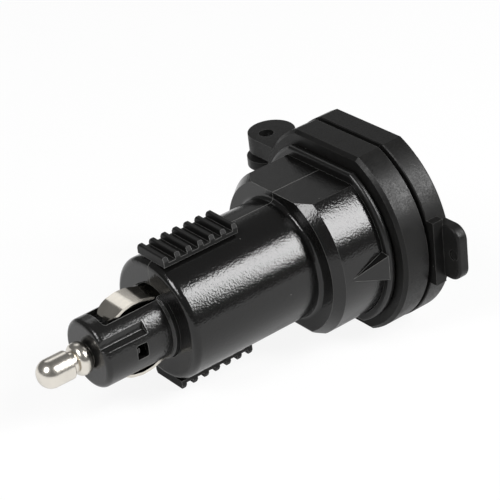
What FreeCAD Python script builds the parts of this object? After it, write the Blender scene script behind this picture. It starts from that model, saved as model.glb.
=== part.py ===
import FreeCAD, Part
import math
import os

# A small 12 V plug that charges through two USB ports under a sprung lid.
# Millimetres. X runs from the plug tip to the lid, Z is up, Y goes to the hinge.
# The origin is on the plug axis, on the front shoulder of the body.

os.makedirs("parts", exist_ok=True)
V = FreeCAD.Vector
ORIGIN = V(0, 0, 0)
ALONG_X = V(1, 0, 0)
ALONG_Y = V(0, 1, 0)
ALONG_Z = V(0, 0, 1)

# Clearances: still pieces, moving pieces, shafts in their holes.
fit_gap = 0.1
close_gap = 0.05
move_gap = 0.3
shaft_gap = 0.05

# Plug nose and its contacts.
nose_r = 6.0
nose_len = 13.6
nose_draft = 0.08
nose_step_r = 6.55
nose_step_len = 1.0
nose_flange_t = 1.8
notch_back = 4.3
notch_floor = 2.85
notch_slope = 19.5
notch_end = -5.2
window_x = (-7.9, -5.8)
window_half = 1.3
catch_r = 5.3
pin_r = 2.47
pin_len = 5.7
neck_r = 1.8
neck_len = 0.8
bead_r = 2.8
bead_len = 2.65
shank_r = 2.0
leaf_half_w = 2.4
leaf_t = 0.5
slot_half_w = 2.65
slot_floor = 2.5
slot_land = 2.4
slot_front = slot_land - nose_len
strap_r = 5.2
strap_t = 0.5
bead_x = (-nose_len - close_gap - bead_len, -nose_len - close_gap)
pin_rear = bead_x[0] - neck_len
pin_tip = pin_rear - pin_len

# Body made of two half shells.
body_r = 10.8
wall = 1.55
front_wall = 1.6
body_len = 26.05
collar_len = 15.05
collar_rise = 4.25
collar_flat_rise = 1.75
collar_lip_rise = 2.95
collar_bevel = 1.7
seam = 0.08
collar_front = body_len
collar_rear = collar_front + collar_len
collar_r = body_r + collar_rise
collar_flat = body_r + collar_flat_rise
collar_lip_r = body_r + collar_lip_rise
inner_r = body_r - wall
nose_back = front_wall + fit_gap + nose_flange_t
nose_flange_r = inner_r - 0.35

# Grips on the shells.
grip_x = (0.85, 15.65)
grip_half_w = 3.63
grip_t = 0.7
rib_h = 1.05
rib_count = 7
rib_w = 0.95
stem_x = (5.6, 13.2)
stem_half_w = 1.2
stem_reach = 1.35
foot_t = 0.8
foot_half_w = 2.5
grip_floor = body_r + grip_t
grip_top = grip_floor + rib_h
foot_low = inner_r - stem_reach

# Lid frame, ring and lid.
ring_back = 10.1
ring_t = 1.5
ring_wall = 1.4
ring_flat_wall = 1.85
base_gap = 0.15
base_t = 5.1
base_wall = 3.55
base_flat_wall = 4.25
base_lip = 2.0
lid_gap = 0.85
lid_t = 4.15
lid_over = 0.15
seal_inset = 0.6
seal_out = 0.65
seal_in = 1.75
seal_rim = 1.9
tab_set = 2.0
tab_out = 4.25
tab_half_w = 5.1
boss_half_w = 6.0
ring_x = (collar_front + ring_back, collar_front + ring_back + ring_t)
ring_r = collar_r + ring_wall
ring_flat = collar_flat + ring_flat_wall
base_x = (ring_x[1] + base_gap, ring_x[1] + base_gap + base_t)
base_r = collar_r + base_wall
base_flat = collar_flat + base_flat_wall
lid_x = (base_x[1] + lid_gap, base_x[1] + lid_gap + lid_t)
lid_r = base_r + lid_over
lid_flat = base_flat + lid_over
tab_x = lid_x[0] + tab_set
tab_reach = lid_r + tab_out
flange_x = (collar_rear + fit_gap, base_x[1])
flange_r = base_r - base_lip
flange_flat = base_flat - base_lip
seal_r = flange_r - seal_inset
seal_flat = flange_flat - seal_inset

# Hinge.
hinge_set = 0.9
hinge_out = 3.1
ear_r = 4.3
ear_shift = 1.2
ear_z = (6.8, 10.0)
knuckle_r = 3.9
knuckle_z = (4.2, 5.9)
hinge_pin_r = 1.33
pin_sunk = 1.5
coil_r = 2.6
coil_wire_r = 0.38
coil_turns = 6.5
coil_pitch = 1.1
spring_leg = 4.2
hinge_x = base_x[1] - hinge_set
hinge_y = base_r + hinge_out
hinge_pin_half = ear_z[1] - pin_sunk

# Inside: board, ports and insert.
board_t = 1.6
board_front = 9.0
board_play = 0.55
port_w = 13.2
port_h = 5.8
port_wall = 0.35
port_len = 14.0
port_sunk = 0.3
port_overlap = 10.0
port_back_t = 2.2
tongue_len = 9.5
tongue_low = 2.75
tongue_t = 1.8
tongue_side = 0.65
skirt_len = 2.2
skirt_wall = 1.2
port_x = (flange_x[1] - port_sunk - port_len, flange_x[1] - port_sunk)
board_x = (board_front, port_x[0] + port_overlap)
board_half_w = inner_r - board_play

# Components on the board. Rows are counted from its front end.
front_row = 6.4
rear_row = 13.4
can_r = 3.15
can_h = 5.4
drum_r = 3.7
drum_h = 5.0
drum_lip = 1.0
chip_size = (5.0, 3.9, 1.6)
diode_size = (4.3, 2.6, 2.2)
fuse_size = (4.5, 2.6, 1.1)
passive_size = (2.0, 1.24, 0.6)
side_y = board_half_w - 3.1
lead_r = 0.7
lead_bend = 2.0
lead_run = 2.2


def turned(profile):
    # A solid turned about X from (x, radius) corners.
    corners = [V(x, 0, r) for x, r in profile]
    face = Part.Face(Part.makePolygon(corners + corners[:1]))
    return face.revolve(ORIGIN, ALONG_X, 360)


def block(x0, x1, y0, y1, z0, z1):
    return Part.makeBox(x1 - x0, y1 - y0, z1 - z0, V(x0, y0, z0))


def rod(x0, x1, r, y=0.0, z=0.0):
    return Part.makeCylinder(r, x1 - x0, V(x0, y, z), ALONG_X)


def post(x, y, z0, z1, r):
    return Part.makeCylinder(r, z1 - z0, V(x, y, z0), ALONG_Z)


def flatted(x0, x1, r, flat):
    # A round plate with a flat above and below.
    return rod(x0, x1, r).common(block(x0, x1, -r, r, -flat, flat))


def prism(corners, direction):
    # A face with the given corners, swept straight along a vector.
    return Part.Face(Part.makePolygon(corners + corners[:1])).extrude(direction)


def edges_on_x(shape, x):
    # The edges that lie wholly in the plane at x.
    found = []
    for edge in shape.Edges:
        box = edge.BoundBox
        if abs(box.XMin - x) < 1e-4 and abs(box.XMax - x) < 1e-4:
            found.append(edge)
    return found


def half_turn(shape):
    # The same piece on the opposite side of the plug axis.
    turned_over = shape.copy()
    turned_over.rotate(ORIGIN, ALONG_X, 180)
    return turned_over


def both_ends(shape):
    # The piece and its mirror image in the middle plane of the hinge.
    return shape.fuse(shape.mirror(ORIGIN, ALONG_Z))


def save(name, shape):
    if len(shape.Solids) == 1:
        shape = shape.Solids[0]
    shape.exportStep("parts/" + name + ".step")


def make_centre_contact():
    # Turned pin: round end, neck, bead against the nose, shank to the inside.
    body = turned([(pin_tip, 0), (pin_tip, pin_r), (pin_rear, pin_r), (pin_rear, 0)])
    body = body.makeFillet(pin_r * 0.92, edges_on_x(body, pin_tip))
    body = body.makeFillet(0.3, edges_on_x(body, pin_rear))
    bead = rod(bead_x[0], bead_x[1], bead_r)
    bead = bead.makeFillet(1.1, edges_on_x(bead, bead_x[0]) + edges_on_x(bead, bead_x[1]))
    neck = rod(pin_rear - 0.5, bead_x[0] + 0.5, neck_r)
    rear = nose_back + 1.1
    shank = rod(bead_x[1] - 0.5, rear, shank_r)
    shank = shank.makeChamfer(0.3, edges_on_x(shank, rear))
    return body.fuse([bead, neck, shank]).removeSplitter()


def make_washer():
    # Push-on washer that holds the pin against the back of the nose.
    x0 = nose_back + fit_gap
    return rod(x0, x0 + 0.6, shank_r + 1.1).cut(rod(x0 - 1, x0 + 2, shank_r + close_gap))


def make_nose():
    # Moulded nose with two contact slots, catch windows and a notch on each side.
    # Behind the round land at its front the nose widens a little, as draft.
    nose = turned([(-nose_len, 0), (-nose_len, nose_r), (slot_front, nose_r), (0.5, nose_r + nose_draft),
                   (0.5, 0)])
    nose = nose.makeFillet(0.9, edges_on_x(nose, -nose_len))
    step = rod(-nose_step_len, 2.0, nose_step_r)
    step = step.makeChamfer(0.3, edges_on_x(step, -nose_step_len))
    flange = rod(front_wall + fit_gap, nose_back, nose_flange_r)
    nose = nose.fuse([step, flange])
    nose = nose.cut(rod(-nose_len - 1, nose_back + 1, shank_r + close_gap))
    slot = block(slot_front, nose_back + 1, -slot_half_w, slot_half_w, slot_floor,
                 nose_flange_r + 1)
    slot = slot.makeFillet(0.6, [e for e in slot.Edges if abs(e.BoundBox.XMax - slot_front) < 1e-4
                                 and e.BoundBox.ZLength > 1])
    window = block(window_x[0], window_x[1], -nose_r - 1, nose_r + 1, -window_half, window_half)
    window = window.makeFillet(0.3, [e for e in window.Edges if e.BoundBox.YLength > 1])
    catch = block(window_x[0] - 0.2, window_x[0] + 0.85, -catch_r, catch_r, -0.4, 0.4)
    notch = nose_notch()
    nose = nose.cut([slot, half_turn(slot), window.cut(catch), notch, half_turn(notch)]).removeSplitter()
    rims = [e for e in nose.Edges if e.BoundBox.XLength > 4 and notch_rim(e.CenterOfMass)]
    return nose.makeFillet(0.18, rims)


def notch_rim(point):
    # True for a point on the long outer edge of the floor of a notch.
    y = abs(point.y)
    z = abs(point.z)
    return abs(math.hypot(y, z) - nose_r) < 0.2 and notch_back + 0.5 < y and z < notch_floor and z > 1.9


def nose_notch():
    # Moulded recess open to the front: an upright wall and a floor with draft.
    out = nose_r + 1
    fall = (out - notch_back) * math.tan(math.radians(notch_slope))
    x0 = -nose_len - 1
    corners = [V(x0, -notch_back, notch_floor), V(x0, -out, notch_floor - fall), V(x0, -out, out),
               V(x0, -notch_back, out)]
    notch = prism(corners, V(notch_end - x0, 0, 0))
    inner = [e for e in notch.Edges if e.BoundBox.XLength > 1 and abs(e.BoundBox.YMax + notch_back) < 1e-4
             and e.BoundBox.ZMax < notch_floor + 0.01]
    return notch.makeFillet(0.35, inner)


def make_leaf():
    # Bowed earth contact, bent from strip, with its end tucked into the slot.
    lifts = [(2.0, -0.4), (-0.2, -0.4), (-1.0, -0.05), (-3.4, 0.75), (-5.4, 0.88), (-7.4, 0.45),
             (-9.1, -0.5), (-9.8, -0.9)]
    outer = [(x, nose_r + lift) for x, lift in lifts]
    inner = []
    for i, (x, z) in enumerate(outer):
        before = outer[max(i - 1, 0)]
        after = outer[min(i + 1, len(outer) - 1)]
        length = math.hypot(after[0] - before[0], after[1] - before[1])
        along = ((after[0] - before[0]) / length, (after[1] - before[1]) / length)
        inner.append((x - along[1] * leaf_t, z + along[0] * leaf_t))
    corners = [V(x, -leaf_half_w, z) for x, z in outer + inner[::-1]]
    leaf = prism(corners, V(0, 2 * leaf_half_w, 0))
    end_r = leaf_half_w * 0.85
    keep = block(outer[-1][0] - 0.2, 5, -leaf_half_w, leaf_half_w, 0, nose_r + 4)
    corners = [e for e in keep.Edges if e.BoundBox.ZLength > 1 and e.BoundBox.XMax < 0]
    return leaf.common(keep.makeFillet(end_r, corners))


def make_earth_strap():
    # Plate behind the nose with two tongues under the leaf roots.
    x0 = nose_back + fit_gap
    x1 = x0 + strap_t
    plate = rod(x0, x1, strap_r).cut(rod(x0 - 1, x1 + 1, shank_r + 1.4))
    plate = plate.common(block(x0, x1, -2.2, 2.2, -strap_r, strap_r)
                         .fuse(block(x0, x1, -strap_r, strap_r, -2.6, 2.6)))
    leaf_under = nose_r - 0.4 - leaf_t
    tongue = block(0.4, x1, -1.8, 1.8, leaf_under - 0.75, leaf_under - 0.35)
    return plate.fuse([tongue, half_turn(tongue)]).removeSplitter()


def barb():
    # Arrow-shaped snap on the near side of the collar.
    rear = ring_x[0] - fit_gap
    root_y = -collar_r + 1.15
    apex = V(collar_front + 2.65, -collar_r + 0.15, 0)
    low = [V(rear, root_y, 2.5), V(rear, root_y, -2.5)]
    high = [V(rear, -collar_r - 1.5, -2.3), V(rear, -collar_r - 1.5, 2.3)]
    loops = [[apex, low[0], high[1]], [apex, high[1], high[0]], [apex, high[0], low[1]],
             [apex, low[1], low[0]], low + high]
    faces = [Part.Face(Part.makePolygon(loop + loop[:1])) for loop in loops]
    solid = Part.Solid(Part.Shell(faces))
    if solid.Volume < 0:
        solid.reverse()
    return solid


def make_shell():
    # The whole body, before it is split along the seam.
    barrel = rod(0, collar_front + 1, body_r)
    barrel = barrel.makeFillet(1.2, edges_on_x(barrel, 0))
    collar = turned([(collar_front, 0), (collar_front, collar_lip_r),
                     (collar_front + collar_bevel, collar_r), (collar_rear, collar_r), (collar_rear, 0)])
    collar = collar.common(block(collar_front, collar_rear, -collar_r, collar_r, -collar_flat, collar_flat))
    outer = barrel.fuse(collar).removeSplitter()
    root = [e for e in edges_on_x(outer, collar_front) if e.BoundBox.ZMax < body_r + 0.1]
    outer = outer.makeFillet(0.8, root)
    outer = outer.fuse([barb(), half_turn(barb())])
    collar_in = collar_front + 2.0
    stop_r = nose_flange_r - 1.3
    stop_x = (nose_back + fit_gap, nose_back + fit_gap + 1.2)
    hollow = turned([(front_wall, 0), (front_wall, inner_r), (stop_x[0], inner_r), (stop_x[0], stop_r),
                     (stop_x[1], stop_r), (stop_x[1], inner_r), (collar_in + 1, inner_r), (collar_in + 1, 0)])
    well = flatted(collar_in, collar_rear + 1, collar_r - wall, collar_flat - wall)
    mouth = rod(-1, 2, nose_step_r + fit_gap)
    slots = []
    for side in (1, -1):
        z0, z1 = sorted((side * (inner_r - 2), side * (body_r + 1)))
        half = stem_half_w + fit_gap
        slots.append(block(stem_x[0] - fit_gap, stem_x[1] + fit_gap, -half, half, z0, z1))
    shell = outer.cut([hollow, well, mouth] + slots)
    rails = []
    for side in (1, -1):
        z0, z1 = sorted((side * (board_t / 2 + fit_gap), side * (board_t / 2 + 1.1)))
        rail_x = (board_front + 3.0, collar_front)
        inside = board_half_w - 1.0
        rail = block(rail_x[0], rail_x[1], -inner_r - 0.3, inner_r + 0.3, z0, z1)
        rail = rail.cut(block(rail_x[0], rail_x[1], -inside, inside, -board_t * 2, board_t * 2))
        rails.append(rail.common(rod(rail_x[0], rail_x[1], inner_r + 0.3)))
    return shell.fuse(rails).removeSplitter()


def make_half_shell(shell, side):
    y0, y1 = sorted((side * seam / 2, side * collar_r * 2))
    return shell.common(block(-1, collar_rear + 1, y0, y1, -collar_r, collar_r))


def make_grip():
    # Ribbed plate on the top of the barrel, held by a stem through the seam.
    under = body_r + close_gap
    plate = block(grip_x[0], grip_x[1], -grip_half_w, grip_half_w, under, grip_floor)
    stem = block(stem_x[0], stem_x[1], -stem_half_w, stem_half_w, foot_low + 0.1, under + 0.2)
    foot = block(stem_x[0], stem_x[1], -foot_half_w, foot_half_w, foot_low, foot_low + foot_t)
    pieces = [stem, foot]
    pitch = (grip_x[1] - grip_x[0] - rib_w) / (rib_count - 1)
    for i in range(rib_count):
        x = grip_x[0] + i * pitch
        ends = [V(x, -grip_half_w, grip_floor - 0.1), V(x, -grip_half_w, grip_floor + 0.35),
                V(x, -grip_half_w + 0.35, grip_top), V(x, grip_half_w - 0.35, grip_top),
                V(x, grip_half_w, grip_floor + 0.35), V(x, grip_half_w, grip_floor - 0.1)]
        rib = prism(ends, V(rib_w, 0, 0))
        crest = [e for e in rib.Edges if e.BoundBox.ZMin > grip_top - 0.01 and e.BoundBox.YLength > 1]
        pieces.append(rib.makeFillet(0.28, crest))
    return plate.fuse(pieces).removeSplitter()


def make_ring():
    # Ring pushed over the collar until it snaps behind the barbs.
    ring = flatted(ring_x[0], ring_x[1], ring_r, ring_flat)
    ring = ring.makeFillet(0.6, edges_on_x(ring, ring_x[0]) + edges_on_x(ring, ring_x[1]))
    bore = flatted(ring_x[0] - 1, ring_x[1] + 1, collar_r + fit_gap, collar_flat + fit_gap)
    return ring.cut(bore)


def hinge_arm(x0, x1, y0, z0, z1, r, shift=0.0):
    # An eye round the hinge axis with an arm back to its ring.
    eye = post(hinge_x + shift, hinge_y, z0, z1, r)
    arm = block(x0, x1, y0, hinge_y, z0, z1)
    return eye.fuse(arm)


def make_base():
    # Frame round the end of the body with the two hinge ears.
    frame = flatted(base_x[0], base_x[1], base_r, base_flat)
    frame = frame.makeChamfer(0.6, edges_on_x(frame, base_x[0]))
    root_y = collar_r - 3
    ear = hinge_arm(hinge_x + ear_shift - ear_r, base_x[1], root_y, ear_z[0], ear_z[1], ear_r, ear_shift)
    frame = frame.fuse(both_ends(ear)).removeSplitter()
    bore = flatted(base_x[0] - 1, base_x[1] + 1, collar_r + fit_gap, collar_flat + fit_gap)
    seat = flatted(collar_rear, base_x[1] + 1, flange_r + fit_gap, flange_flat + fit_gap)
    knuckle_room = post(hinge_x, hinge_y, knuckle_z[0] - move_gap, knuckle_z[1] + move_gap,
                        knuckle_r + move_gap)
    coil_room = post(hinge_x, hinge_y, -knuckle_z[0], knuckle_z[0], coil_r + coil_wire_r + move_gap)
    hole = post(hinge_x, hinge_y, -2 * ear_z[1], 2 * ear_z[1], hinge_pin_r + shaft_gap)
    return frame.cut([bore, seat, both_ends(knuckle_room), coil_room, hole, leg_hole(-1)])


def coil_start():
    # Height of the lower end of the spring coil.
    return -coil_turns * coil_pitch / 2


def leg_line(side):
    # Root and direction of a spring leg, in line with the end of the coil:
    # -1 for the leg in the frame, +1 for the leg in the lid.
    rise = coil_pitch / (2 * math.pi * coil_r)
    return V(side * coil_r, 0, -side * coil_start()), V(0, -1, side * rise)


def leg_hole(side):
    # Hole for a spring leg in the frame or the lid.
    root, direction = leg_line(side)
    start = V(hinge_x, hinge_y, 0) + root + direction * (spring_leg - 2)
    return Part.makeCylinder(coil_wire_r + fit_gap, 3, start, direction)


def make_spring():
    # Left-hand coil of wire whose two ends run on straight as legs.
    helix = Part.makeHelix(coil_pitch, coil_turns * coil_pitch, coil_r)
    root, direction = leg_line(1)
    ring = Part.Wire(Part.makeCircle(coil_wire_r, V(coil_r, 0, 0), V(0, 1, direction.z)))
    coil = Part.Wire(helix).makePipeShell([ring], True, True)
    coil = coil.mirror(ORIGIN, ALONG_Y)
    coil.rotate(ORIGIN, ALONG_Z, 180)
    coil.translate(V(0, 0, coil_start()))
    legs = []
    for side in (-1, 1):
        root, direction = leg_line(side)
        legs.append(Part.makeCylinder(coil_wire_r, spring_leg, root, direction))
    spring = coil.fuse(legs).removeSplitter()
    spring.translate(V(hinge_x, hinge_y, 0))
    return spring


def make_lid():
    # Lid with finger tab, two hinge knuckles and a pocket for the seal.
    lid = flatted(lid_x[0], lid_x[1], lid_r, lid_flat)
    lid = lid.makeFillet(0.3, edges_on_x(lid, lid_x[1]))
    lid = lid.makeChamfer(0.15, edges_on_x(lid, lid_x[0]))
    root_y = seal_r + 1.2
    tab = block(tab_x, lid_x[1], -tab_reach, -root_y, -tab_half_w, tab_half_w)
    tab = tab.makeFillet(2.5, [e for e in tab.Edges if e.BoundBox.XLength > 1 and e.BoundBox.YMax < -lid_r])
    tab = tab.makeFillet(0.4, [e for e in edges_on_x(tab, lid_x[1]) if e.BoundBox.YMin < -root_y - 0.1]
                         + [e for e in edges_on_x(tab, tab_x) if e.BoundBox.YMin < -root_y - 0.1])
    boss = block(lid_x[0], tab_x + 0.2, -lid_r - 0.5, -root_y, -boss_half_w, boss_half_w)
    knuckle = hinge_arm(lid_x[0], hinge_x + knuckle_r, root_y, knuckle_z[0], knuckle_z[1], knuckle_r)
    lid = lid.fuse([tab, boss, both_ends(knuckle)]).removeSplitter()
    pocket = flatted(lid_x[0] - 1, lid_x[0] + seal_in + close_gap, seal_r + fit_gap, seal_flat + fit_gap)
    dimple = rod(tab_x - 0.5, tab_x + 0.35, 1.0, 1.4 - tab_reach, 0)
    ear_room = post(hinge_x, hinge_y, ear_z[0] - move_gap, ear_z[1] + move_gap,
                    ear_r + ear_shift + move_gap)
    coil_room = post(hinge_x, hinge_y, -knuckle_z[0], knuckle_z[0], coil_r + coil_wire_r + move_gap)
    hole = post(hinge_x, hinge_y, -2 * ear_z[1], 2 * ear_z[1], hinge_pin_r + shaft_gap)
    return lid.cut([pocket, dimple, both_ends(ear_room), coil_room, hole, leg_hole(1)])


def make_seal():
    # Rubber pad in the lid with a raised rim that meets the insert.
    pad = flatted(lid_x[0] - seal_out, lid_x[0] + seal_in, seal_r, seal_flat)
    hollow = flatted(lid_x[0] - 1, lid_x[0] + seal_in - 0.75, seal_r - seal_rim, seal_flat - seal_rim)
    return pad.cut(hollow)


def make_insert():
    # Face of the body: a flange, a short skirt in the collar, two windows.
    flange = flatted(flange_x[0], flange_x[1], flange_r, flange_flat)
    flange = flange.makeFillet(0.4, edges_on_x(flange, flange_x[1]))
    skirt_r = collar_r - wall - fit_gap
    skirt_flat = collar_flat - wall - fit_gap
    skirt_x = flange_x[0] - skirt_len
    skirt = flatted(skirt_x, flange_x[0] + 0.2, skirt_r, skirt_flat)
    skirt = skirt.cut(flatted(skirt_x - 1, flange_x[0], skirt_r - skirt_wall, skirt_flat - skirt_wall))
    insert = flange.fuse(skirt).removeSplitter()
    half_y = port_w / 2 + fit_gap
    for side in (1, -1):
        z0, z1 = sorted((side * (port_low() - fit_gap), side * (port_low() + port_h + fit_gap)))
        insert = insert.cut(block(skirt_x, flange_x[1] + 1, -half_y, half_y, z0, z1))
    return insert


def port_low():
    # Height of the port shell over the middle of the board.
    return board_t / 2 + close_gap


def make_port_shell():
    # Folded metal sleeve, open to the lid, with two holding tongues cut free.
    z0 = port_low()
    sleeve = block(port_x[0], port_x[1], -port_w / 2, port_w / 2, z0, z0 + port_h)
    long_edges = [e for e in sleeve.Edges if e.BoundBox.XLength > 1]
    sleeve = sleeve.makeFillet(0.7, long_edges)
    space = block(port_x[0] + port_wall, port_x[1] + 1, -port_w / 2 + port_wall, port_w / 2 - port_wall,
                  z0 + port_wall, z0 + port_h - port_wall)
    space = space.makeFillet(0.35, [e for e in space.Edges if e.BoundBox.XLength > 1])
    sleeve = sleeve.cut(space)
    for y in (-3.2, 3.2):
        x0 = port_x[1] - 8.6
        x1 = port_x[1] - 3.1
        outline = block(x0, x1, y - 1.3, y + 1.3, z0 + port_h - 1, z0 + port_h + 1)
        tongue = block(x0 - 0.5, x1 - 0.4, y - 0.9, y + 0.9, z0 + port_h - 1.2, z0 + port_h + 1.2)
        sleeve = sleeve.cut(outline.cut(tongue))
    return sleeve


def make_port_tongue():
    # Plastic block at the back of a port with the contact tongue.
    z0 = port_low() + port_wall
    half_y = port_w / 2 - port_wall - close_gap
    back_x = port_x[0] + port_wall + close_gap
    end = back_x + port_back_t + tongue_len
    back = block(back_x, back_x + port_back_t, -half_y, half_y, z0 + close_gap,
                 z0 + port_h - 2 * port_wall - close_gap)
    back = back.makeFillet(0.4, [e for e in back.Edges if e.BoundBox.XLength > 1])
    half_y = half_y - tongue_side
    tongue = block(back_x + 0.5, end, -half_y, half_y, z0 + tongue_low, z0 + tongue_low + tongue_t)
    tongue = tongue.makeChamfer(0.35, [e for e in edges_on_x(tongue, end) if e.BoundBox.YLength > 1])
    return back.fuse(tongue).removeSplitter()


def make_port_contacts():
    # Four contact strips under each tongue, both ports together.
    x0 = port_x[0] + port_wall + 2 * close_gap + port_back_t
    z1 = port_low() + port_wall + tongue_low - 0.03
    strips = []
    for y in (-3.5, -1.0, 1.0, 3.5):
        strip = block(x0, x0 + tongue_len - 0.7, y - 0.5, y + 0.5, z1 - 0.25, z1)
        strips.append(strip)
        strips.append(half_turn(strip))
    return Part.makeCompound(strips)


def make_board():
    # Board slid in between the rails, wider where it carries the ports.
    wide_half = board_half_w + 1.7
    narrow = block(board_x[0], board_x[1], -board_half_w, board_half_w, -board_t / 2, board_t / 2)
    wide = block(collar_front + 2.35, board_x[1], -wide_half, wide_half, -board_t / 2, board_t / 2)
    return narrow.fuse(wide).removeSplitter()


def on_board(shape, x, y, under=False):
    # Move a component made on z = 0 onto the board, or under it.
    placed = shape.copy()
    placed.translate(V(x, y, board_t / 2 + close_gap))
    if under:
        placed = placed.mirror(ORIGIN, ALONG_Z)
    return placed


def make_can(r, height):
    # Wet capacitor: a drawn can with a crimp on a square foot.
    foot = block(-r, r, -r, r, 0, 0.6)
    foot = foot.makeChamfer(0.8, [e for e in foot.Edges if e.BoundBox.ZLength > 0.5 and e.BoundBox.XMin > 0])
    can = post(0, 0, 0.4, height, r - 0.1)
    can = can.makeFillet(0.5, [e for e in can.Edges if e.BoundBox.ZMin > height - 0.01])
    groove = post(0, 0, 1.3, 1.8, r + 1).cut(post(0, 0, 1.2, 1.9, r - 0.35))
    return foot.fuse(can.cut(groove)).removeSplitter()


def make_inductor():
    # Drum core with a wound waist.
    waist = drum_r - drum_lip
    core = [(0, 0), (drum_r, 0), (drum_r, drum_lip), (waist, drum_lip + 0.3), (waist, drum_h - drum_lip - 0.3),
            (drum_r, drum_h - drum_lip), (drum_r, drum_h), (0, drum_h)]
    corners = [V(r, 0, z) for r, z in core]
    drum = Part.Face(Part.makePolygon(corners + corners[:1])).revolve(ORIGIN, ALONG_Z, 360)
    return drum


def make_chip():
    # Eight-legged regulator.
    length, width, height = chip_size
    body = block(-length / 2, length / 2, -width / 2, width / 2, 0.15, height)
    body = body.makeChamfer(0.2, [e for e in body.Edges if e.BoundBox.ZMin > height - 0.1])
    pieces = []
    pitch = length / 4 + 0.02
    for i in range(4):
        x = (i - 1.5) * pitch
        for side in (1, -1):
            y0, y1 = sorted((side * (width / 2 - 0.05), side * (width / 2 + 1.05)))
            pieces.append(block(x - 0.2, x + 0.2, y0, y1, 0.0, 0.22))
            y0, y1 = sorted((side * (width / 2 - 0.05), side * (width / 2 + 0.4)))
            pieces.append(block(x - 0.2, x + 0.2, y0, y1, 0.0, 0.85))
    return body.fuse(pieces).removeSplitter()


def make_tabbed(length, width, height):
    # Moulded two-ended part with bent end plates.
    body = block(-length / 2, length / 2, -width / 2, width / 2, 0.12, height)
    body = body.makeChamfer(0.25, [e for e in body.Edges if e.BoundBox.ZMin > height - 0.01])
    plates = []
    for side in (1, -1):
        x0, x1 = sorted((side * (length / 2 - 0.6), side * (length / 2 + 0.35)))
        plates.append(block(x0, x1, -width * 0.3, width * 0.3, 0, height * 0.45))
    return body.fuse(plates).removeSplitter()


def make_chips_group():
    # Small chip resistors and capacitors, one kind of part.
    length, width, height = passive_size
    chip = block(-length / 2, length / 2, -width / 2, width / 2, 0, height)
    placed = []
    for x in (front_row - 4.2, rear_row - 2.05, rear_row + 2.05):
        for y in (side_y, -side_y):
            placed.append(on_board(chip, board_front + x, y))
    return Part.makeCompound(placed)


def make_lead(start, rise, bend, run, r):
    # Insulated lead: straight, two tangent arcs, straight along the board.
    turn = math.acos(1 - abs(rise) / (2 * bend))
    sign = 1 if rise > 0 else -1
    x, y, z = start
    a = V(x, y, z)
    b = V(x + 0.8, y, z)
    reach = bend * math.sin(turn)
    drop = bend * (1 - math.cos(turn))
    half = turn / 2
    m1 = V(b.x + bend * math.sin(half), y, z + sign * bend * (1 - math.cos(half)))
    c = V(b.x + reach, y, z + sign * drop)
    d = V(b.x + 2 * reach, y, z + rise)
    m2 = V(d.x - bend * math.sin(half), y, d.z - sign * bend * (1 - math.cos(half)))
    e = V(d.x + run, y, d.z)
    edges = [Part.makeLine(a, b), Part.Arc(b, m1, c).toShape(), Part.Arc(c, m2, d).toShape(),
             Part.makeLine(d, e)]
    path = Part.Wire(edges)
    ring = Part.Wire(Part.makeCircle(r, a, ALONG_X))
    return path.makePipeShell([ring], True, True)


leaf = make_leaf()
grip = make_grip()
shell = make_shell()
port_shell = make_port_shell()
port_tongue = make_port_tongue()
lead_z = board_t / 2 + close_gap + lead_r
front_x = board_front + front_row
rear_x = board_front + rear_row

save("centre_contact", make_centre_contact())
save("retaining_washer", make_washer())
save("plug_nose", make_nose())
save("upper_earth_contact", leaf)
save("lower_earth_contact", half_turn(leaf))
save("earth_strap", make_earth_strap())
save("near_shell", make_half_shell(shell, -1))
save("far_shell", make_half_shell(shell, 1))
save("upper_grip", grip)
save("lower_grip", half_turn(grip))
save("locking_ring", make_ring())
save("hinge_base", make_base())
save("hinge_pin", post(hinge_x, hinge_y, -hinge_pin_half, hinge_pin_half, hinge_pin_r))
save("hinge_spring", make_spring())
save("lid", make_lid())
save("lid_seal", make_seal())
save("socket_insert", make_insert())
save("upper_usb_shell", port_shell)
save("lower_usb_shell", half_turn(port_shell))
save("upper_usb_tongue", port_tongue)
save("lower_usb_tongue", half_turn(port_tongue))
save("usb_contacts", make_port_contacts())
save("circuit_board", make_board())
save("input_capacitor", on_board(make_can(can_r, can_h), front_x, 0))
save("output_capacitor", on_board(make_can(can_r, can_h), rear_x, 0, under=True))
save("inductor", on_board(make_inductor(), rear_x, 0))
save("regulator_chip", on_board(make_chip(), front_x, side_y - 1.7, under=True))
save("rectifier_diode", on_board(make_tabbed(*diode_size), front_x, 2.2 - side_y, under=True))
save("resettable_fuse", on_board(make_tabbed(*fuse_size), front_x, -side_y))
save("chip_components", make_chips_group())
save("positive_lead", make_lead((nose_back + 1.2, 0.0, 0.0), lead_z, lead_bend, lead_run, lead_r))
earth_z = strap_r - lead_r - 0.1
earth_start = (nose_back + fit_gap + strap_t + 0.15, 0.0, -earth_z)
save("earth_lead", make_lead(earth_start, earth_z - lead_z, lead_bend, lead_run, lead_r))
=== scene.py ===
# %% [markdown]
# # A plug-in USB charger with a sprung lid
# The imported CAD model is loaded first, as a fixed frame in metres. Every solid
# keeps its place. The cells below give it a camera, finishes, contact leaves
# with rounded folds, a copper winding, a floor and studio light.

# %% Load the frame
import math

import bmesh
import bpy
from mathutils import Matrix, Vector


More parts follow.
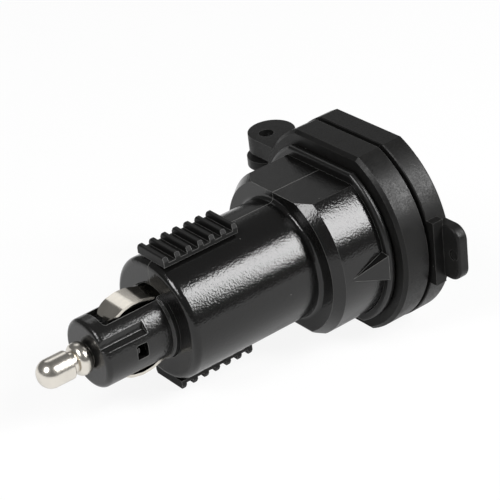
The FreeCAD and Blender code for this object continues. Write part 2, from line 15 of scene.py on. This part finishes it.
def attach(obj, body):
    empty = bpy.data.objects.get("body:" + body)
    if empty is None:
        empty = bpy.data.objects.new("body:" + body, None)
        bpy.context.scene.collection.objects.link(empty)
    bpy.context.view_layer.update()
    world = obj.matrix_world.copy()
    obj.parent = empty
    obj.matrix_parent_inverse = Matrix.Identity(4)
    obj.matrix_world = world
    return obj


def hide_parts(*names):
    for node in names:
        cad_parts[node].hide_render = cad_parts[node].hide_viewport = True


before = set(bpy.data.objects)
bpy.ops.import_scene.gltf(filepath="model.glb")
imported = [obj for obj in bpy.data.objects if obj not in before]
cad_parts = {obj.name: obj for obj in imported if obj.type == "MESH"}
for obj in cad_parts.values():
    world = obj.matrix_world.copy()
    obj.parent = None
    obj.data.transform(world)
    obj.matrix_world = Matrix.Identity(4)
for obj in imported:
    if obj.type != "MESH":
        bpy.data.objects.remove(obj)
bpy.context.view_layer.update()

MM = 0.001
print("pieces in the frame:", len(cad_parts))

# %% [markdown]
# ## Camera
# The picture was taken with a long lens, from above and beside the plug tip. The
# camera's axes were found by matching the round rims of the plug to ellipses. A
# look-at camera would also do, but the charger lies nose down, so its picture is
# a little rolled, and stating the three axes keeps that roll.

# %% Camera
EYE = Vector((-135.436, -222.014, 161.929)) * MM
RIGHT = Vector((0.77712, -0.62029, -0.10642))
DOWN = Vector((-0.3874, -0.33821, -0.85763))
AWAY = Vector((0.49599, 0.70771, -0.50313))
LENS_MM = 136.1
SENSOR_MM = 36.0
NEAREST = 0.01

camera_data = bpy.data.cameras.new("photo_camera")
camera_data.sensor_fit = "HORIZONTAL"
camera_data.sensor_width = SENSOR_MM
camera_data.lens = LENS_MM
camera_data.clip_start = NEAREST
camera = bpy.data.objects.new("photo_camera", camera_data)
bpy.context.scene.collection.objects.link(camera)
axes = Matrix((RIGHT, -DOWN, -AWAY)).transposed()
camera.matrix_world = Matrix.Translation(EYE) @ axes.to_4x4()
bpy.context.scene.camera = camera
print("camera lens", LENS_MM, "mm, from", [round(v, 3) for v in EYE])

# %% [markdown]
# ## Shader arithmetic
# A finish is easier to read as an expression than as a list of links. `Wire`
# wraps a node's output and turns + - * into Math nodes. `Finish` owns one
# material and has a single method that adds any other node. Patterns read
# Object coordinates, which are metres in the part's own frame.

# %% Small shader toolkit
MIX_FACTOR = 0
MIX_FIRST = 6
MIX_SECOND = 7
MIX_RESULT = 2
EDGE_RAYS = 8
NOISE_MEAN = 0.5


class Wire:
    """An output socket that can be used in arithmetic."""

    def __init__(self, finish, socket):
        self.finish = finish
        self.socket = socket

    def math(self, operation, *values):
        return self.finish.node("ShaderNodeMath", {"operation": operation}, dict(enumerate(values)))

    def __add__(self, other):
        return self.math("ADD", self, other)

    def __radd__(self, other):
        return self.math("ADD", other, self)

    def __sub__(self, other):
        return self.math("SUBTRACT", self, other)

    def __rsub__(self, other):
        return self.math("SUBTRACT", other, self)

    def __mul__(self, other):
        return self.math("MULTIPLY", self, other)

    def __rmul__(self, other):
        return self.math("MULTIPLY", other, self)

    def above(self, limit):
        return self.math("GREATER_THAN", self, limit)

    def at_most(self, limit):
        return self.math("MINIMUM", self, limit)

    def size(self):
        return self.math("ABSOLUTE", self)


class Finish:
    """One material, built from a principled shader."""

    def __init__(self, name, colour, roughness, metallic=0.0, constants=None):
        self.material = bpy.data.materials.new(name)
        self.material.use_nodes = True
        self.tree = self.material.node_tree
        self.shader = self.tree.nodes["Principled BSDF"]
        self.shader.inputs["Base Color"].default_value = (*colour, 1.0)
        self.shader.inputs["Roughness"].default_value = roughness
        self.shader.inputs["Metallic"].default_value = metallic
        for socket, value in (constants or {}).items():
            self.shader.inputs[socket].default_value = value
        self.material.diffuse_color = (*colour, 1.0)

    def node(self, kind, settings=None, inputs=None, out=0):
        made = self.tree.nodes.new(kind)
        for key, value in (settings or {}).items():
            setattr(made, key, value)
        for key, value in (inputs or {}).items():
            if isinstance(value, Wire):
                self.tree.links.new(value.socket, made.inputs[key])
            else:
                made.inputs[key].default_value = value
        return Wire(self, made.outputs[out])

    def place(self):
        return self.node("ShaderNodeTexCoord", out="Object")

    def along(self, axis):
        return self.node("ShaderNodeSeparateXYZ", None, {0: self.place()}, out=axis)

    def noise(self, grain_mm, detail=3.0, stretch=(1, 1, 1)):
        where = self.node("ShaderNodeMapping", None, {"Vector": self.place(), "Scale": stretch})
        sizes = {"Vector": where, "Scale": 1.0 / (grain_mm * MM), "Detail": detail}
        return self.node("ShaderNodeTexNoise", None, sizes, out="Fac")

    def mix(self, factor, first, second):
        first = first if isinstance(first, Wire) else (*first, 1.0)
        inputs = {MIX_FACTOR: factor, MIX_FIRST: first, MIX_SECOND: (*second, 1.0)}
        return self.node("ShaderNodeMix", {"data_type": "RGBA"}, inputs, out=MIX_RESULT)

    def specks(self, every_mm, size, rarity):
        cells = {"Vector": self.place(), "Scale": 1.0 / (every_mm * MM)}
        core = 1.0 - self.node("ShaderNodeTexVoronoi", None, cells, out="Distance").above(size)
        draw = self.node("ShaderNodeTexVoronoi", None, cells, out="Color")
        return core * self.node("ShaderNodeSeparateColor", None, {0: draw}, out="Red").above(rarity)

    def edges(self, width_mm):
        rounded = self.node("ShaderNodeBevel", {"samples": EDGE_RAYS}, {"Radius": width_mm * MM})
        facing = self.node("ShaderNodeNewGeometry", out="Normal")
        pair = {0: rounded, 1: facing}
        return 1.0 - self.node("ShaderNodeVectorMath", {"operation": "DOT_PRODUCT"}, pair, out="Value")

    def feed(self, socket, wire):
        self.tree.links.new(wire.socket, self.shader.inputs[socket])

    def bump(self, height, strength, depth_mm):
        sizes = {"Height": height, "Strength": strength, "Distance": depth_mm * MM}
        self.feed("Normal", self.node("ShaderNodeBump", None, sizes))


print("shader toolkit ready")

# %% [markdown]
# ## Black mouldings
# The barrel and collar come from a polished mould with a faint grain, so their
# highlights are bright with crumbly edges. The lid, frame and grips come from
# an eroded mould and look grey and soft. One function makes both: a fine grain
# for the bump, and a broad, slow change of roughness and tone from handling.
#
# The two half shells meet in the plane Y = 0. A painted highlight runs along that
# seam: the gloss finish pales in a hair's width round it, where the seam's edges catch the light.
# Specks of dust lie on everything black: the cores of scattered Voronoi cells.
# Painted highlights pale the edges too, for the light caught by rounded edges.
# A Bevel node turns the normal near an edge, and where it leaves the true
# normal the colour goes lighter, in some places more.
# An edge mask could be painted by hand, but this one follows any shape.

# %% Black mouldings
SEAM_MM = 0.08
SEAM_HIGHLIGHT = (0.12, 0.12, 0.115)
DUST = (0.14, 0.14, 0.13)
DUST_EVERY_MM = 2.8
DUST_SIZE = 0.03
DUST_RARITY = 0.45
EDGE_MM = 0.16
EDGE_HIGHLIGHT_EVERY_MM = 1.2
EDGE_HIGHLIGHT = (0.17, 0.17, 0.165)
DARKER = (0.8, 0.8, 0.78)
LIGHTER = (1.28, 1.25, 1.2)
GRAIN_STRENGTH = 0.35


def moulding(name, tone, roughness, grain_mm, depth_mm, spread,
             shine=0.5, seam=False, cloud_mm=9.0, dust_and_edge_highlight=8.0):
    finish = Finish(name, (tone, tone, tone), roughness, constants={"Specular IOR Level": shine})
    grain = finish.noise(grain_mm, detail=1.0)
    handling = finish.noise(cloud_mm)
    uneven = (handling - NOISE_MEAN) * spread
    finish.feed("Roughness", roughness + uneven + (grain - NOISE_MEAN) * spread)
    darker = [tone * share for share in DARKER]
    lighter = [tone * share for share in LIGHTER]
    colour = finish.mix(handling, darker, lighter)
    # Dust specks, then a painted highlight along the edges, broken up by noise.
    if dust_and_edge_highlight:
        colour = finish.mix(finish.specks(DUST_EVERY_MM, DUST_SIZE, DUST_RARITY), colour, DUST)
        edge_highlight = (finish.edges(EDGE_MM) * dust_and_edge_highlight * finish.noise(EDGE_HIGHLIGHT_EVERY_MM)).at_most(1.0)
        colour = finish.mix(edge_highlight, colour, EDGE_HIGHLIGHT)
    if seam:
        # Painted highlight: the colour pales in a thin strip along the seam plane.
        seam_highlight = 1.0 - finish.along("Y").size().above(SEAM_MM * MM)
        colour = finish.mix(seam_highlight, colour, SEAM_HIGHLIGHT)
    finish.feed("Base Color", colour)
    finish.bump(grain, GRAIN_STRENGTH, depth_mm)
    return finish.material


gloss_black = moulding("gloss_black", tone=0.005, roughness=0.16, grain_mm=0.33, depth_mm=0.085,
                       spread=0.08, shine=0.42, seam=True)
ring_black = moulding("ring_black", tone=0.006, roughness=0.32, grain_mm=0.38, depth_mm=0.03,
                      spread=0.12, shine=0.4)
nose_black = moulding("nose_black", tone=0.008, roughness=0.2, grain_mm=0.33, depth_mm=0.1,
                      spread=0.12, shine=0.44)
satin_black = moulding("satin_black", tone=0.008, roughness=0.4, grain_mm=0.3, depth_mm=0.025,
                       spread=0.4, shine=0.18, cloud_mm=4.0, dust_and_edge_highlight=3.0)
grip_black = moulding("grip_black", tone=0.006, roughness=0.45, grain_mm=0.2, depth_mm=0.012,
                      spread=0.12, shine=0.2)
insert_black = moulding("insert_black", tone=0.02, roughness=0.55, grain_mm=0.35, depth_mm=0.03,
                        spread=0.1)
seal_rubber = moulding("seal_rubber", tone=0.028, roughness=0.78, grain_mm=0.5, depth_mm=0.03,
                       spread=0.1)
print("mouldings:", gloss_black.name, nose_black.name, satin_black.name, grip_black.name)

# %% [markdown]
# ## Plated and bare metal
# The contacts are nickel on brass, slightly warm, with marks from turning or
# bending. A stretched noise gives those marks: long along the wear, fine
# across. A slow haze dulls the metal in patches, as fingers and air do.

# %% Metals
HAZE_MM = 2.5
DULL = 0.82
MARK_STRENGTH = 0.25


def metal(name, colour, roughness, grain_mm, stretch, spread, depth_mm=0.002):
    finish = Finish(name, colour, roughness, metallic=1.0)
    lines = finish.noise(grain_mm, stretch=stretch)
    haze = finish.noise(HAZE_MM)
    marked = (lines - NOISE_MEAN) * spread
    finish.feed("Roughness", roughness + marked + (haze - NOISE_MEAN) * spread)
    dull = [part * DULL for part in colour]
    finish.feed("Base Color", finish.mix(haze, dull, colour))
    finish.bump(lines, MARK_STRENGTH, depth_mm)
    return finish.material


turned_nickel = metal("turned_nickel", (0.8, 0.76, 0.69), roughness=0.25, grain_mm=0.3,
                      stretch=(1.0, 0.08, 0.08), spread=0.06, depth_mm=0.001)
strip_nickel = metal("strip_nickel", (0.74, 0.7, 0.63), roughness=0.22, grain_mm=0.4,
                     stretch=(0.12, 1.0, 0.12), spread=0.14)
bright_steel = metal("bright_steel", (0.62, 0.62, 0.63), roughness=0.26, grain_mm=0.3,
                     stretch=(0.1, 1.0, 1.0), spread=0.12)
spring_steel = metal("spring_steel", (0.56, 0.56, 0.57), roughness=0.28, grain_mm=0.2,
                     stretch=(1.0, 1.0, 0.3), spread=0.12)
contact_gold = metal("contact_gold", (0.83, 0.62, 0.28), roughness=0.22, grain_mm=0.3,
                     stretch=(0.1, 1.0, 1.0), spread=0.1)
can_aluminium = metal("can_aluminium", (0.74, 0.74, 0.76), roughness=0.32, grain_mm=0.3,
                      stretch=(1.0, 1.0, 0.2), spread=0.12)
print("metals:", turned_nickel.name, strip_nickel.name, bright_steel.name)

# %% [markdown]
# ## Board
# The board has a green mask over copper tracks, which show as faint paler
# lines. The mortar of a Brick texture draws such lines without an image, and
# raises them a little.

# %% Board finish
MASK_GREEN = (0.012, 0.09, 0.035)
TRACK_GREEN = (0.05, 0.2, 0.07)
MASK_ROUGH = 0.36
MASK_SPREAD = 0.12
CLEAR = (0, 0, 0, 1)
DRAWN = (1, 1, 1, 1)

board = Finish("board_green", MASK_GREEN, MASK_ROUGH)
tracks = board.node("ShaderNodeTexBrick", {"offset": 0.5}, {
    "Vector": board.place(), "Scale": 420.0, "Mortar Size": 0.035, "Mortar Smooth": 0.2,
    "Color1": CLEAR, "Color2": CLEAR, "Mortar": DRAWN}, out="Fac")
board.feed("Base Color", board.mix(tracks, MASK_GREEN, TRACK_GREEN))
board.feed("Roughness", MASK_ROUGH + board.noise(grain_mm=1.5) * MASK_SPREAD)
board.bump(tracks, strength=0.3, depth_mm=0.02)
board_green = board.material
print("board finish:", board_green.name)

# %% [markdown]
# ## Parts on the board
# Chips are black with tinned feet. The feet are found from the height over the
# middle of the board, so that one finish serves every chip on either side. The
# ferrite and the white tongues of the ports are mouldings that no hand
# reaches, so they get neither dust nor the painted edge highlight.

# %% Component finishes
TIN_TOP_MM = 1.13
CHIP_BLACK = (0.025, 0.025, 0.027)
CHIP_ROUGH = 0.5
CHIP_SPREAD = 0.1
TIN_GREY = (0.66, 0.66, 0.64)
TIN_SMOOTHER = 0.2

chip = Finish("component_black", CHIP_BLACK, CHIP_ROUGH)
tin = 1.0 - chip.along("Z").size().above(TIN_TOP_MM * MM)
chip.feed("Base Color", chip.mix(tin, CHIP_BLACK, TIN_GREY))
chip.feed("Metallic", tin)
chip.feed("Roughness", CHIP_ROUGH - tin * TIN_SMOOTHER + chip.noise(grain_mm=0.3) * CHIP_SPREAD)
component_black = chip.material

ferrite = moulding("ferrite", tone=0.06, roughness=0.7, grain_mm=0.25, depth_mm=0.02,
                   spread=0.1, dust_and_edge_highlight=0.0)
port_plastic = moulding("port_plastic", tone=0.72, roughness=0.4, grain_mm=0.3, depth_mm=0.006,
                        spread=0.08, dust_and_edge_highlight=0.0)
print("component finishes:", component_black.name, ferrite.name, port_plastic.name)

# %% [markdown]
# ## Leads
# A red and a black lead run from the contacts to the board. Their soft skins
# scuff as they are pushed in, so a noise dulls colour and gloss together.

# %% Lead finishes
SKIN_ROUGH = 0.36
SKIN_SPREAD = 0.16
SCUFF_MM = 0.8
SCUFFED = 0.85


def lead_finish(name, colour):
    finish = Finish(name, colour, SKIN_ROUGH)
    scuff = finish.noise(SCUFF_MM, detail=4.0)
    finish.feed("Roughness", SKIN_ROUGH + scuff * SKIN_SPREAD)
    finish.feed("Base Color", finish.mix(scuff, [part * SCUFFED for part in colour], colour))
    return finish.material


lead_red = lead_finish("lead_red", (0.42, 0.02, 0.02))
lead_black = lead_finish("lead_black", (0.02, 0.02, 0.02))
print("lead finishes:", lead_red.name, lead_black.name)

# %% [markdown]
# ## Each solid gets its finish
# The shapes come from the CAD model, so a solid only needs a material here. On
# the real charger each piece is one material, so one slot a solid is enough.

# %% Dress the solids
WEARS = {
    gloss_black: ["near_shell", "far_shell"],
    ring_black: ["locking_ring"],
    nose_black: ["plug_nose"],
    satin_black: ["hinge_base", "lid"],
    grip_black: ["upper_grip", "lower_grip"],
    insert_black: ["socket_insert"],
    seal_rubber: ["lid_seal"],
    turned_nickel: ["centre_contact"],
    strip_nickel: ["upper_earth_contact", "lower_earth_contact"],
    bright_steel: ["retaining_washer", "earth_strap", "hinge_pin", "upper_usb_shell", "lower_usb_shell"],
    spring_steel: ["hinge_spring"],
    contact_gold: ["usb_contacts"],
    port_plastic: ["upper_usb_tongue", "lower_usb_tongue"],
    board_green: ["circuit_board"],
    can_aluminium: ["input_capacitor", "output_capacitor"],
    ferrite: ["inductor"],
    component_black: ["regulator_chip", "rectifier_diode", "resettable_fuse", "chip_components"],
    lead_red: ["positive_lead"],
    lead_black: ["earth_lead"],
}
for material, names in WEARS.items():
    for name in names:
        solid = bpy.data.objects[name]
        solid.data.materials.clear()
        solid.data.materials.append(material)
print("dressed", sum(len(names) for names in WEARS.values()), "solids")

# %% [markdown]
# ## Bent contact leaves
# The solid leaf has sharp folds. A press bends strip over a rounded die, so each
# leaf here is a copy of the solid with its folds rounded, which makes the bands
# of reflection run into each other. Only the shallow folds are rounded: the cut
# edges of the strip are steeper than the limit and stay crisp.

# %% Contact leaves
FOLD_MM = 0.55
FOLD_STEPS = 5
FOLD_LEAST = math.radians(3)
FOLD_MOST = math.radians(50)
FOLD_SPAN_MM = 2.0
MERGE_MM = 0.001
FLAT = math.radians(1)
CRISP = math.radians(35)


def is_fold(edge):
    if not edge.is_manifold:
        return False
    if abs(edge.verts[0].co.y - edge.verts[1].co.y) <= FOLD_SPAN_MM * MM:
        return False
    return FOLD_LEAST < edge.calc_face_angle() < FOLD_MOST


def rounded_folds(node, body):
    mesh = bpy.data.objects[node].data.copy()
    shape = bmesh.new()
    shape.from_mesh(mesh)
    bmesh.ops.remove_doubles(shape, verts=shape.verts, dist=MERGE_MM * MM)
    bmesh.ops.dissolve_limit(shape, angle_limit=FLAT, verts=shape.verts, edges=shape.edges)
    folds = [edge for edge in shape.edges if is_fold(edge)]
    bmesh.ops.bevel(shape, geom=folds, offset=FOLD_MM * MM, segments=FOLD_STEPS, profile=0.5,
                    affect="EDGES", clamp_overlap=True)
    shape.to_mesh(mesh)
    shape.free()
    mesh.shade_smooth()
    mesh.set_sharp_from_angle(angle=CRISP)
    leaf = bpy.data.objects.new(node + "_bent", mesh)
    bpy.context.scene.collection.objects.link(leaf)
    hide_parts(node)
    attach(leaf, body)
    return len(folds)


fold_count = rounded_folds("upper_earth_contact", "upper_leaf")
fold_count += rounded_folds("lower_earth_contact", "lower_leaf")
print("rounded", fold_count, "folds in the contact leaves")

# %% [markdown]
# ## Copper winding
# The inductor is a ferrite drum wound with enamelled wire. The solid has the
# bare drum. The wire is a spiral curve swept with a round section in Geometry
# Nodes, so that turns and wire can be changed by name. A modelled coil in the
# CAD file would cost many more faces for a piece that carries no load.

# %% Winding tree
TURN_STEPS = 28
WIRE_SIDES = 8
WINDING_INPUTS = {
    "Turns": "Float", "Radius": "Float", "Height": "Float",
    "Wire": "Float", "Place": "Vector", "Enamel": "Material",
}


def winding_tree():
    tree = bpy.data.node_groups.new("winding", "GeometryNodeTree")
    for name, kind in WINDING_INPUTS.items():
        tree.interface.new_socket(name, in_out="INPUT", socket_type="NodeSocket" + kind)
    tree.interface.new_socket("Geometry", in_out="OUTPUT", socket_type="NodeSocketGeometry")
    given = tree.nodes.new("NodeGroupInput").outputs
    spiral = tree.nodes.new("GeometryNodeCurveSpiral")
    spiral.inputs["Resolution"].default_value = TURN_STEPS
    section = tree.nodes.new("GeometryNodeCurvePrimitiveCircle")
    section.inputs["Resolution"].default_value = WIRE_SIDES
    sweep = tree.nodes.new("GeometryNodeCurveToMesh")
    sweep.inputs["Fill Caps"].default_value = True
    move = tree.nodes.new("GeometryNodeTransform")
    real = tree.nodes.new("GeometryNodeRealizeInstances")
    paint = tree.nodes.new("GeometryNodeSetMaterial")
    result = tree.nodes.new("NodeGroupOutput")
    links = [
        (given["Turns"], spiral.inputs["Rotations"]),
        (given["Radius"], spiral.inputs["Start Radius"]),
        (given["Radius"], spiral.inputs["End Radius"]),
        (given["Height"], spiral.inputs["Height"]),
        (given["Wire"], section.inputs["Radius"]),
        (spiral.outputs["Curve"], sweep.inputs["Curve"]),
        (section.outputs["Curve"], sweep.inputs["Profile Curve"]),
        (sweep.outputs["Mesh"], move.inputs["Geometry"]),
        (given["Place"], move.inputs["Translation"]),
        (move.outputs["Geometry"], real.inputs["Geometry"]),
        (real.outputs["Geometry"], paint.inputs["Geometry"]),
        (given["Enamel"], paint.inputs["Material"]),
        (paint.outputs["Geometry"], result.inputs["Geometry"]),
    ]
    for start, end in links:
        tree.links.new(start, end)
    return tree


def wind(name, values):
    tree = winding_tree()
    coil = bpy.data.objects.new(name, bpy.data.meshes.new(name))
    bpy.context.scene.collection.objects.link(coil)
    maker = coil.modifiers.new("winding", "NODES")
    maker.node_group = tree
    for item in tree.interface.items_tree:
        if item.in_out == "INPUT":
            maker[item.identifier] = values[item.name]
    ready = coil.evaluated_get(bpy.context.evaluated_depsgraph_get())
    mesh = bpy.data.meshes.new_from_object(ready)
    coil.modifiers.clear()
    coil.data = mesh
    mesh.shade_smooth()
    return coil


print("winding inputs:", ", ".join(WINDING_INPUTS))

# %% [markdown]
# ## Wire on the drum
# The drum's waist is a fixed share of its size, so the coil is measured from
# the solid. It starts the wire's radius above the lower flange and lies on the
# waist, with a little room between its turns.

# %% Copper winding
WIRE_R = 0.15 * MM
WAIST_WIDE = 0.73
WAIST_HIGH = 0.46
TURN_PITCH = 2.1
WIRE_LIES = 1.1

copper = metal("winding_copper", (0.72, 0.33, 0.15), roughness=0.3, grain_mm=0.3,
               stretch=(1.0, 1.0, 0.2), spread=0.1)
drum = bpy.data.objects["inductor"]
ends = [drum.matrix_world @ Vector(corner) for corner in drum.bound_box]
drum_low = Vector([min(end[i] for end in ends) for i in range(3)])
drum_high = Vector([max(end[i] for end in ends) for i in range(3)])
waist_r = (drum_high.x - drum_low.x) / 2 * WAIST_WIDE
waist_h = (drum_high.z - drum_low.z) * WAIST_HIGH - 2 * WIRE_R
centre = (drum_low + drum_high) / 2
winding = wind("inductor_winding", {
    "Turns": waist_h / (TURN_PITCH * WIRE_R),
    "Radius": waist_r + WIRE_LIES * WIRE_R,
    "Height": waist_h,
    "Wire": WIRE_R,
    "Place": (centre.x, centre.y, centre.z - waist_h / 2),
    "Enamel": copper,
})
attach(winding, "charger")
print("winding:", len(winding.data.polygons), "faces")

# %% [markdown]
# ## Floor
# The charger rests on the edge of its lid and on the first rib of the lower
# grip, so the table slopes a little in the part's own frame. A plane through
# those two lines is the floor, lowered until nothing pokes through it.

# %% Floor
REST_FRONT = Vector((0.9, 0, -12.56)) * MM
REST_BACK = Vector((43.7, 0, -16.96)) * MM
FLOOR_HALF = 3.0

slope = (REST_BACK - REST_FRONT).normalized()
side = Vector((0, 1, 0))
floor_up = slope.cross(-side).normalized()
if floor_up.z < 0:
    floor_up.negate()
heights = [
    (point.co - REST_FRONT).dot(floor_up)
    for name in ("lower_grip", "lid", "hinge_base")
    for point in bpy.data.objects[name].data.vertices
]
start = REST_FRONT + floor_up * min(heights)
signs = ((-1, -1), (1, -1), (1, 1), (-1, 1))
corners = [start + (slope * a + side * b) * FLOOR_HALF for a, b in signs]
floor_mesh = bpy.data.meshes.new("floor")
floor_mesh.from_pydata(corners, [], [(0, 1, 2, 3)])
floor = bpy.data.objects.new("floor", floor_mesh)
bpy.context.scene.collection.objects.link(floor)
print("floor slopes by", round(math.degrees(math.acos(floor_up.z)), 1), "degrees,",
      "lowered by", round(-min(heights) / MM, 3), "mm")

# %% [markdown]
# ## Floor paper
# Part of the paper's white is its own, for an even backdrop, and the rest is
# lit, which keeps the soft shadow. Mirrors see less of that white than the
# camera does, or the lower half of the gloss would turn grey.

# %% Floor paper
OWN_WHITE = 0.9
MIRRORED_WHITE = 0.39
FULL_WHITE = {"Color": (1, 1, 1, 1), "Strength": 1.0}

paper = Finish("floor_paper", (0.9, 0.9, 0.9), roughness=0.9, constants={"Specular IOR Level": 0.0})
seen = paper.node("ShaderNodeLightPath", out="Is Camera Ray")
mirrored = paper.node("ShaderNodeLightPath", out="Is Glossy Ray")
through = paper.node("ShaderNodeLightPath", out="Is Transmission Ray")
own_white = seen * OWN_WHITE + (mirrored + through) * MIRRORED_WHITE
lit = Wire(paper, paper.shader.outputs[0])
glow = paper.node("ShaderNodeEmission", None, FULL_WHITE)
shown = paper.node("ShaderNodeMixShader", None, {0: own_white, 1: lit, 2: glow})
output = paper.tree.nodes["Material Output"]
paper.tree.links.new(shown.socket, output.inputs["Surface"])
floor_mesh.materials.append(paper.material)
print("paper:", OWN_WHITE, "own white to the camera,", MIRRORED_WHITE, "to mirrors")

# %% [markdown]
# ## Studio light
# One soft box to the right of the camera draws the long highlight on the barrel
# and the collar. A second one to the left lights the bevel of the collar, the
# leaf and the root of the barrel. A weak box behind and a large dim panel lower
# down lift the far flats. The lamps stay at a plain level, so that the colours
# render about as written.

# %% Lamps
MIDDLE = Vector((0.015, 0.0, 0.0))


def soft_box(name, azimuth, elevation, distance, width, height, power):
    lamp = bpy.data.lights.new(name, "AREA")
    lamp.shape = "RECTANGLE"
    lamp.size = width
    lamp.size_y = height
    lamp.energy = power
    box = bpy.data.objects.new(name, lamp)
    bpy.context.scene.collection.objects.link(box)
    turn = math.radians(azimuth)
    rise = math.radians(elevation)
    way = Vector((math.cos(turn) * math.cos(rise), math.sin(turn) * math.cos(rise), math.sin(rise)))
    box.location = MIDDLE + way * distance
    box.rotation_euler = way.to_track_quat("Z", "Y").to_euler()


soft_box("key_box", azimuth=-50, elevation=34, distance=0.6, width=0.18, height=0.37, power=3.8)
soft_box("left_box", azimuth=-169, elevation=49, distance=0.7, width=0.24, height=0.3, power=3.2)
soft_box("rear_box", azimuth=70, elevation=42, distance=0.9, width=0.4, height=0.3, power=0.45)
soft_box("back_panel", azimuth=48, elevation=24, distance=0.9, width=0.7, height=0.4, power=0.17)

bpy.context.scene.view_settings.view_transform = "Standard"
print("lamps: key_box, left_box, rear_box and back_panel")

# %% [markdown]
# ## Room
# From a low camera the far edge of the floor shows, and above it the room. The
# camera sees that as white, like the floor. The charger itself sees a dim room,
# and its mirrors a slightly brighter one, or its black would turn grey.

# %% Room
ROOM = 0.1
MIRRORED_ROOM = 0.16


class Room(Finish):
    """The world's nodes, with the same arithmetic as a material."""

    def __init__(self, world):
        world.use_nodes = True
        self.tree = world.node_tree
        self.shader = self.tree.nodes["Background"]
        self.shader.inputs["Color"].default_value = (1.0, 1.0, 1.0, 1.0)


world = bpy.data.worlds.new("room")
room = Room(world)
seen = room.node("ShaderNodeLightPath", out="Is Camera Ray")
mirrored = room.node("ShaderNodeLightPath", out="Is Glossy Ray")
through = room.node("ShaderNodeLightPath", out="Is Transmission Ray")
room.feed("Strength", ROOM + seen * (1.0 - ROOM) + (mirrored + through) * (MIRRORED_ROOM - ROOM))
bpy.context.scene.world = world
print("room at", ROOM, "and white to the camera")

# %% [markdown]
# ## End

# %% Finish
print("scene built")
